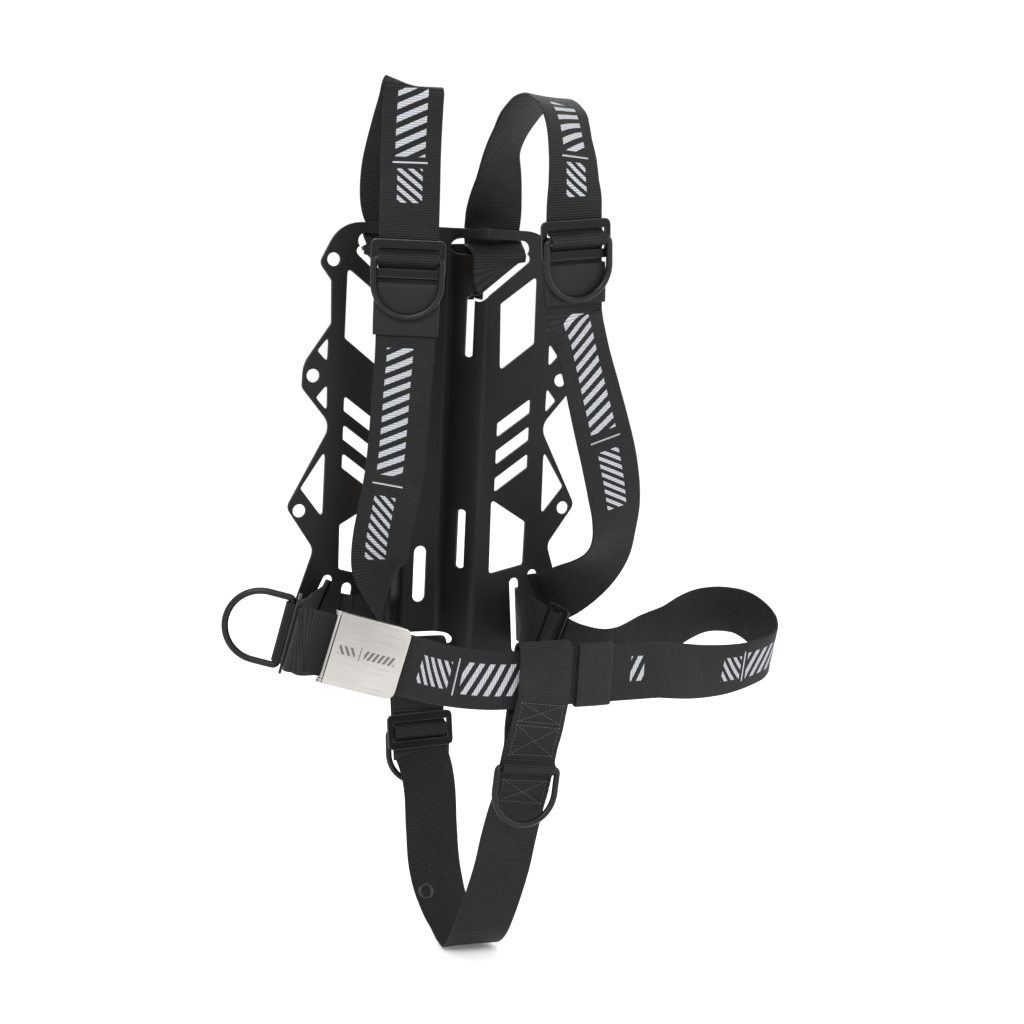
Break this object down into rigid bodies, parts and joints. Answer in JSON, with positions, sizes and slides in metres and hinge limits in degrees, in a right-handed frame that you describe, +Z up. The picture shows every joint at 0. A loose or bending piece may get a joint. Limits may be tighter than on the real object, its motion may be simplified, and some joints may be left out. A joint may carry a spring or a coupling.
{
  "type": "buoyancy compensator harness",
  "caption": "Bent metal backplate with lightening cut-outs and a woven webbing harness, D-rings, slides, waist buckle and crotch strap.",
  "frame": {"origin": "centre of the channel floor's rear face, halfway up the plate", "axes": "+Z up the wearer's back, +Y out of the back towards the tank, +X towards the wearer's left"},
  "size_m": [0.538, 0.2179, 0.7548],
  "materials": {
    "plate": "satin black powder coat",
    "webbing": "ribbed black nylon webbing",
    "keeper": "smooth black elastic",
    "buckle": "brushed stainless steel",
    "hardware": "black coated steel with worn edges"
  },
  "bodies": {
    "harness": {"backplate": "plate", "webbing_crossover": "webbing", "webbing_shoulder_right": "webbing", "webbing_shoulder_left": "webbing", "webbing_hip_right": "webbing", "webbing_hip_left": "webbing", "webbing_belt": "webbing", "webbing_crotch_rear": "webbing", "webbing_crotch_front": "webbing", "slide_shoulder_right": "hardware", "slide_shoulder_left": "hardware", "slide_hip_right": "hardware", "slide_hip_left": "hardware", "slide_crotch": "hardware", "buckle_base": "buckle", "buckle_pin": "buckle"},
    "ring_shoulder_right": {"ring_shoulder_right": "hardware"},
    "ring_shoulder_left": {"ring_shoulder_left": "hardware"},
    "ring_hip_right": {"ring_hip_right": "hardware"},
    "ring_crotch_front": {"ring_crotch_front": "hardware"},
    "ring_crotch_rear": {"ring_crotch_rear": "hardware"},
    "buckle_cover": {"buckle_cover": "buckle", "buckle_cam_bar": "buckle"},
    "keeper_shoulder_right": {"keeper_shoulder_right": "keeper"},
    "keeper_shoulder_left": {"keeper_shoulder_left": "keeper"},
    "keeper_belt": {"keeper_belt": "keeper"}
  },
  "joints": [
    {"name": "ring_shoulder_right_swing", "type": "hinge", "parent": "harness", "child": "ring_shoulder_right", "pos_m": [-0.05936, -0.10054, 0.17], "axis": [-0.9404, 0.3401, 0], "range_deg": [0, 160]},
    {"name": "ring_shoulder_left_swing", "type": "hinge", "parent": "harness", "child": "ring_shoulder_left", "pos_m": [0.04921, -0.19891, 0.19132], "axis": [-0.9935, -0.0188, -0.1123], "range_deg": [0, 160]},
    {"name": "ring_hip_right_swing", "type": "hinge", "parent": "harness", "child": "ring_hip_right", "pos_m": [-0.17637, -0.1667, -0.12843], "axis": [-0.2131, 0.0771, -0.974], "range_deg": [-85, 80]},
    {"name": "ring_crotch_front_swing", "type": "hinge", "parent": "harness", "child": "ring_crotch_front", "pos_m": [0.03701, -0.17864, -0.25217], "axis": [-0.9927, -0.0153, 0.12], "range_deg": [-5, 150]},
    {"name": "ring_crotch_rear_swing", "type": "hinge", "parent": "harness", "child": "ring_crotch_rear", "pos_m": [-0.005, -0.02589, -0.25458], "axis": [0.9992, 0.0056, 0.0396], "range_deg": [0, 120]},
    {"name": "buckle_cover_hinge", "type": "hinge", "parent": "harness", "child": "buckle_cover", "pos_m": [-0.15101, -0.20638, -0.13313], "axis": [-0.2808, -0.03, -0.9593], "range_deg": [0, 90]},
    {"name": "keeper_shoulder_right_slide", "type": "slide", "parent": "harness", "child": "keeper_shoulder_right", "axis": [0, 0, -1], "range_m": [0, 0.018]},
    {"name": "keeper_shoulder_left_slide", "type": "slide", "parent": "harness", "child": "keeper_shoulder_left", "axis": [0.1099, 0.0999, -0.9889], "range_m": [0, 0.004]},
    {"name": "keeper_belt_slide", "type": "slide", "parent": "harness", "child": "keeper_belt", "axis": [-0.9937, -0.1104, 0.0201], "range_m": [-0.04, 0.005]}
  ]
}
